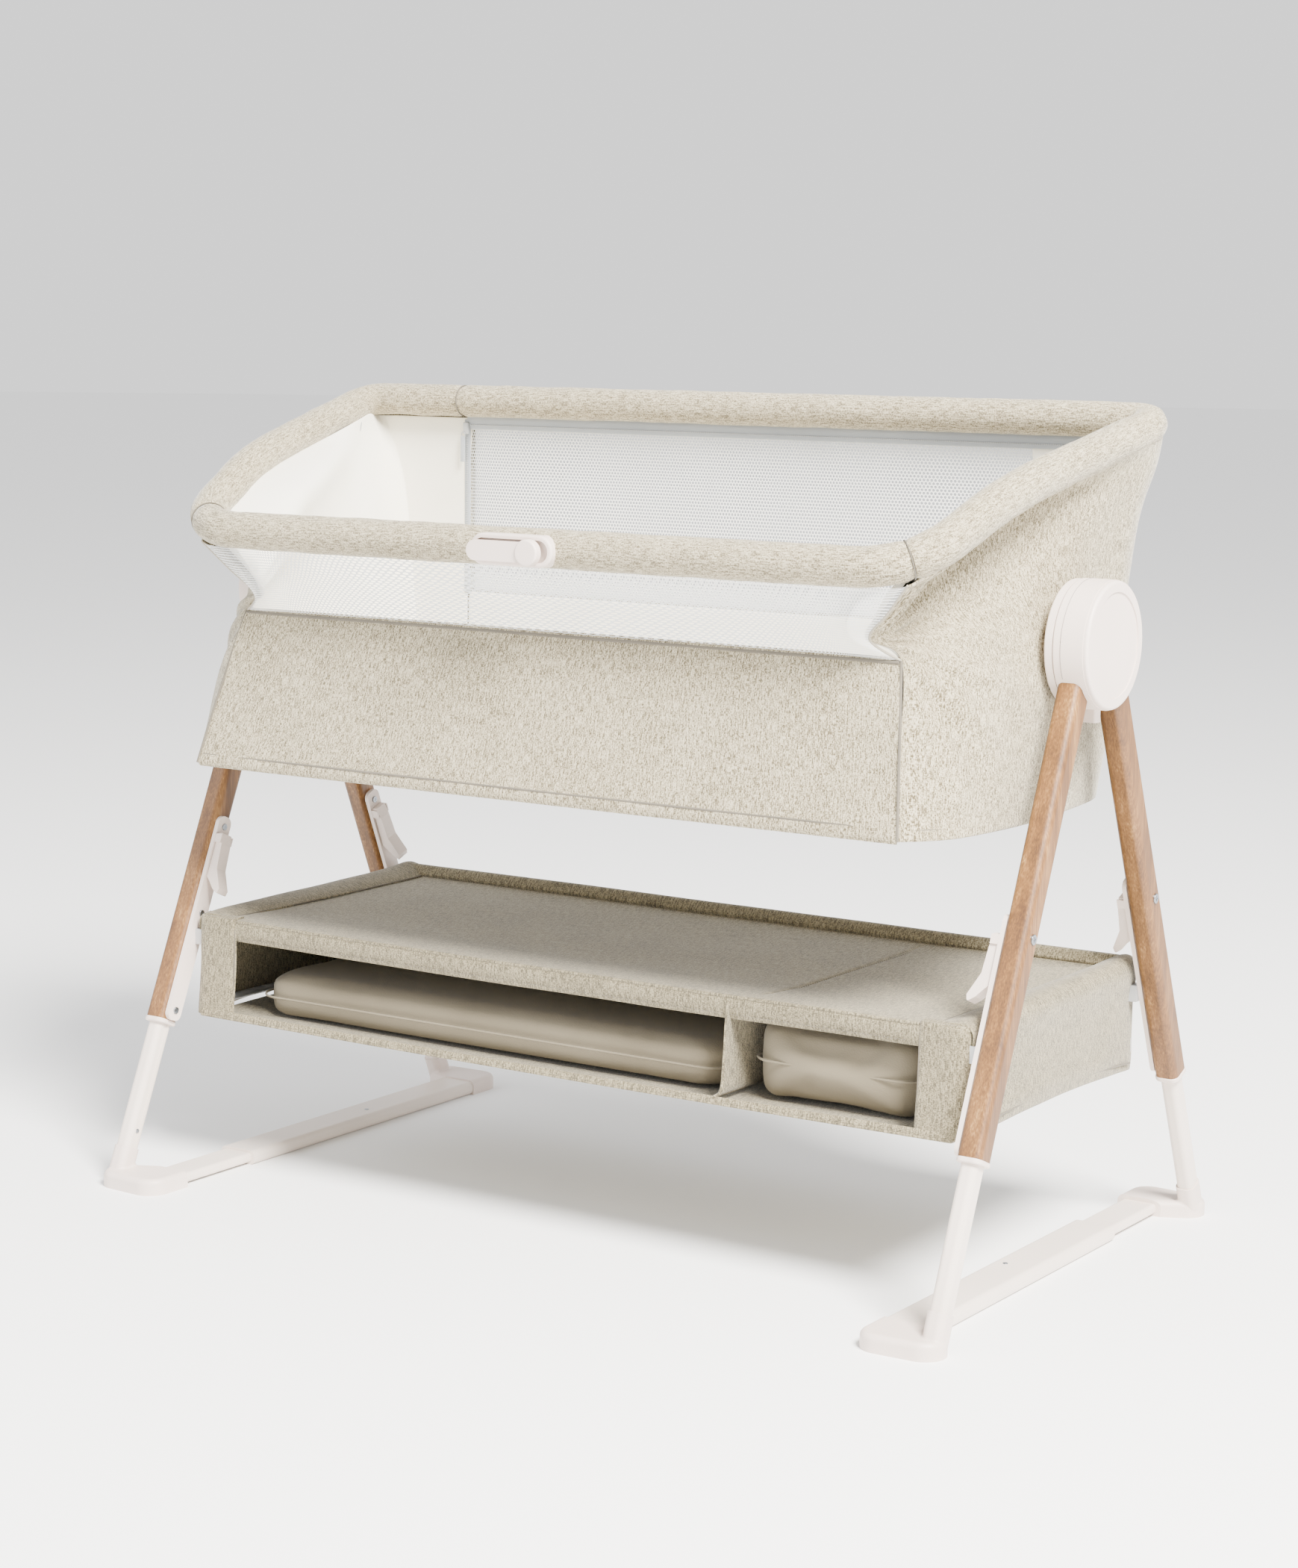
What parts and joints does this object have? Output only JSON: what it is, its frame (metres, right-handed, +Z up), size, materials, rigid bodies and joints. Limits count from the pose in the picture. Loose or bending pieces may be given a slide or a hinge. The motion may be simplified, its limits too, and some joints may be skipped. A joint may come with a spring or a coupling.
{
  "type": "bassinet on stand",
  "caption": "Bedside bassinet with a lowering mesh front, on an A-frame stand of timber legs, telescoping white feet and floor bars, with a cloth storage shelf.",
  "frame": {"origin": "on the floor, midway between the four feet", "axes": "+X along the bassinet from hub to hub, -Y toward the lowering front rail, +Z up"},
  "size_m": [0.998, 0.6, 0.82],
  "materials": {
    "oak": "open-grained oak, matt lacquer",
    "white_tube": "warm white powder coat",
    "white_plastic": "warm white, fine texture",
    "steel": "plated screw heads",
    "frame_steel": "grey coated steel tube",
    "shelf_cloth": "taupe melange weave",
    "pad_cover": "smooth taupe cover",
    "tub_cloth": "warm beige melange weave",
    "liner_cloth": "smooth off-white liner",
    "mesh": "white open mesh"
  },
  "bodies": {
    "stand": {"wood_leg_front_left": "oak", "leg_bracket_front_left": "white_plastic", "wood_leg_front_right": "oak", "leg_bracket_front_right": "white_plastic", "wood_leg_back_left": "oak", "leg_bracket_back_left": "white_plastic", "wood_leg_back_right": "oak", "leg_bracket_back_right": "white_plastic", "leg_collars": "white_plastic", "bracket_screws": "steel", "leg_bolts": "steel", "hub_body_left": "white_plastic", "hub_cap_left": "white_plastic", "shelf_frame_left": "frame_steel", "shelf_end_left": "shelf_cloth", "hub_body_right": "white_plastic", "hub_cap_right": "white_plastic", "shelf_frame_right": "frame_steel", "shelf_end_right": "shelf_cloth", "shelf_sleeve": "shelf_cloth", "shelf_floor": "shelf_cloth", "shelf_divider": "shelf_cloth"},
    "lower_front_left": {"leg_tube_front_left": "white_tube", "foot_front_left": "white_plastic", "floor_bar_tube_left": "white_tube"},
    "trigger_front_left": {"height_trigger_front_left": "white_plastic"},
    "lower_front_right": {"leg_tube_front_right": "white_tube", "foot_front_right": "white_plastic", "floor_bar_sleeve_right": "white_tube"},
    "trigger_front_right": {"height_trigger_front_right": "white_plastic"},
    "lower_back_left": {"leg_tube_back_left": "white_tube", "foot_back_left": "white_plastic", "floor_bar_sleeve_left": "white_tube"},
    "trigger_back_left": {"height_trigger_back_left": "white_plastic"},
    "lower_back_right": {"leg_tube_back_right": "white_tube", "foot_back_right": "white_plastic", "floor_bar_tube_right": "white_tube"},
    "trigger_back_right": {"height_trigger_back_right": "white_plastic"},
    "bassinet": {"hub_flange_left": "white_plastic", "hub_flange_right": "white_plastic", "tub_frame": "frame_steel", "rim_pad_back": "tub_cloth", "tub_front_panel": "tub_cloth", "tub_back_panel": "tub_cloth", "tub_end_left": "tub_cloth", "tub_end_right": "tub_cloth", "tub_floor": "liner_cloth", "mattress": "liner_cloth", "mesh_back": "mesh", "mesh_front": "mesh"},
    "drop_side": {"drop_side_frame": "frame_steel", "rim_pad_front": "tub_cloth", "rim_pad_left": "tub_cloth", "rim_pad_right": "tub_cloth", "latch_bezel": "white_plastic"},
    "latch": {"latch_lever": "white_plastic"},
    "hub_button_left": {"hub_release_left": "white_plastic"},
    "hub_button_right": {"hub_release_right": "white_plastic"},
    "pad_long": {"storage_pad_long": "pad_cover"},
    "pad_folded": {"storage_pad_folded": "pad_cover"}
  },
  "joints": [
    {"name": "height_front_left", "type": "slide", "parent": "stand", "child": "lower_front_left", "axis": [0, -0.3901, -0.9208], "range_m": [-0.075, 0.075]},
    {"name": "height_front_right", "type": "slide", "parent": "stand", "child": "lower_front_right", "axis": [0, -0.3901, -0.9208], "range_m": [-0.075, 0.075]},
    {"name": "height_back_left", "type": "slide", "parent": "stand", "child": "lower_back_left", "axis": [0, 0.3901, -0.9208], "range_m": [-0.075, 0.075]},
    {"name": "height_back_right", "type": "slide", "parent": "stand", "child": "lower_back_right", "axis": [0, 0.3901, -0.9208], "range_m": [-0.075, 0.075]},
    {"name": "squeeze_front_left", "type": "hinge", "parent": "stand", "child": "trigger_front_left", "pos_m": [-0.4565, -0.13149, 0.34592], "axis": [0, -0.9208, 0.3901], "range_deg": [0, 10], "stiffness_Nm_per_rad": 0.3, "springref_deg": -8.59},
    {"name": "squeeze_front_right", "type": "hinge", "parent": "stand", "child": "trigger_front_right", "pos_m": [0.4565, -0.13149, 0.34592], "axis": [0, 0.9208, -0.3901], "range_deg": [0, 10], "stiffness_Nm_per_rad": 0.3, "springref_deg": -8.59},
    {"name": "squeeze_back_left", "type": "hinge", "parent": "stand", "child": "trigger_back_left", "pos_m": [-0.4565, 0.13149, 0.34592], "axis": [0, -0.9208, -0.3901], "range_deg": [0, 10], "stiffness_Nm_per_rad": 0.3, "springref_deg": -8.59},
    {"name": "squeeze_back_right", "type": "hinge", "parent": "stand", "child": "trigger_back_right", "pos_m": [0.4565, 0.13149, 0.34592], "axis": [0, 0.9208, 0.3901], "range_deg": [0, 10], "stiffness_Nm_per_rad": 0.3, "springref_deg": -8.59},
    {"name": "bassinet_tilt", "type": "hinge", "parent": "stand", "child": "bassinet", "pos_m": [0, 0, 0.602], "axis": [1, 0, 0], "range_deg": [-4, 4]},
    {"name": "drop_side_fold", "type": "hinge", "parent": "bassinet", "child": "drop_side", "pos_m": [0, 0.08, 0.78897], "axis": [-1, 0, 0], "range_deg": [0, 19]},
    {"name": "latch_turn", "type": "hinge", "parent": "drop_side", "child": "latch", "pos_m": [0.025, -0.2565, 0.677], "axis": [0, 1, 0], "range_deg": [0, 30], "stiffness_Nm_per_rad": 0.2, "springref_deg": -11.46},
    {"name": "hub_push_left", "type": "slide", "parent": "stand", "child": "hub_button_left", "axis": [0, 0, 1], "range_m": [0, 0.004], "stiffness_N_per_m": 600, "springref_m": -0.003},
    {"name": "hub_push_right", "type": "slide", "parent": "stand", "child": "hub_button_right", "axis": [0, 0, 1], "range_m": [0, 0.004], "stiffness_N_per_m": 600, "springref_m": -0.003},
    {"name": "pull_pad_long", "type": "slide", "parent": "stand", "child": "pad_long", "axis": [0, -1, 0], "range_m": [0, 0.33]},
    {"name": "pull_pad_folded", "type": "slide", "parent": "stand", "child": "pad_folded", "axis": [0, -1, 0], "range_m": [0, 0.33]}
  ],
  "couplings": [
    {"joint": "height_back_left", "follows": "height_front_left", "ratio": 1},
    {"joint": "height_back_right", "follows": "height_front_right", "ratio": 1}
  ]
}
